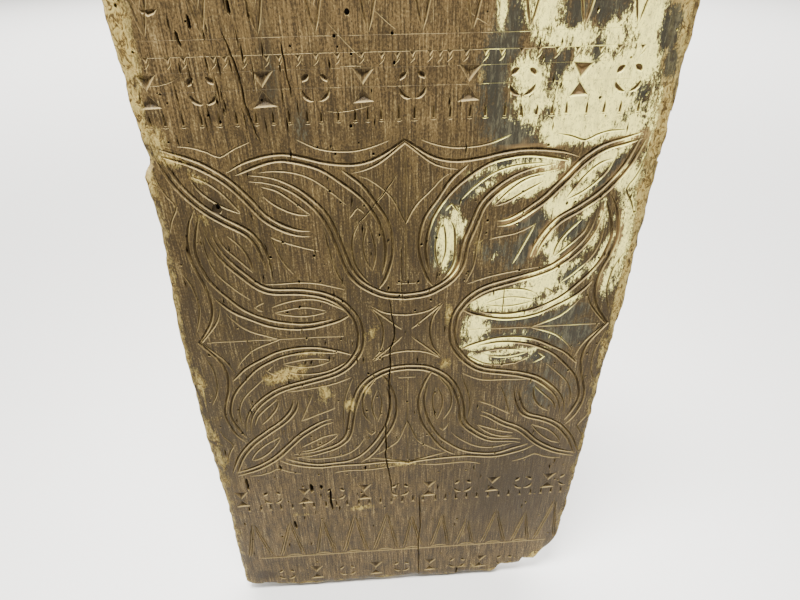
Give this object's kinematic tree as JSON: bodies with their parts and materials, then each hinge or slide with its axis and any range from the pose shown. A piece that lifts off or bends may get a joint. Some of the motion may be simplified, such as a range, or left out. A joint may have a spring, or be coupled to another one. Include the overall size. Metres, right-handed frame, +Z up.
{
  "type": "carved wall panel",
  "caption": "Upright old plank carved on one face with a square interlaced knot between bands of chip carving, worn edges and a broken lower corner, with a flat back for a wall.",
  "frame": {"origin": "on the flat back, behind the middle of the carved knot", "axes": "+X to the right across the board, +Z up along the board, +Y out of the back into the wall, the carved face looks along -Y"},
  "size_m": [0.532, 0.028, 1.008],
  "materials": {
    "aged_wood": "old hand carved hardwood, dark brown patina rubbed pale on the high flats"
  },
  "bodies": {
    "root": {"carved_panel": "aged_wood"}
  },
  "joints": []
}
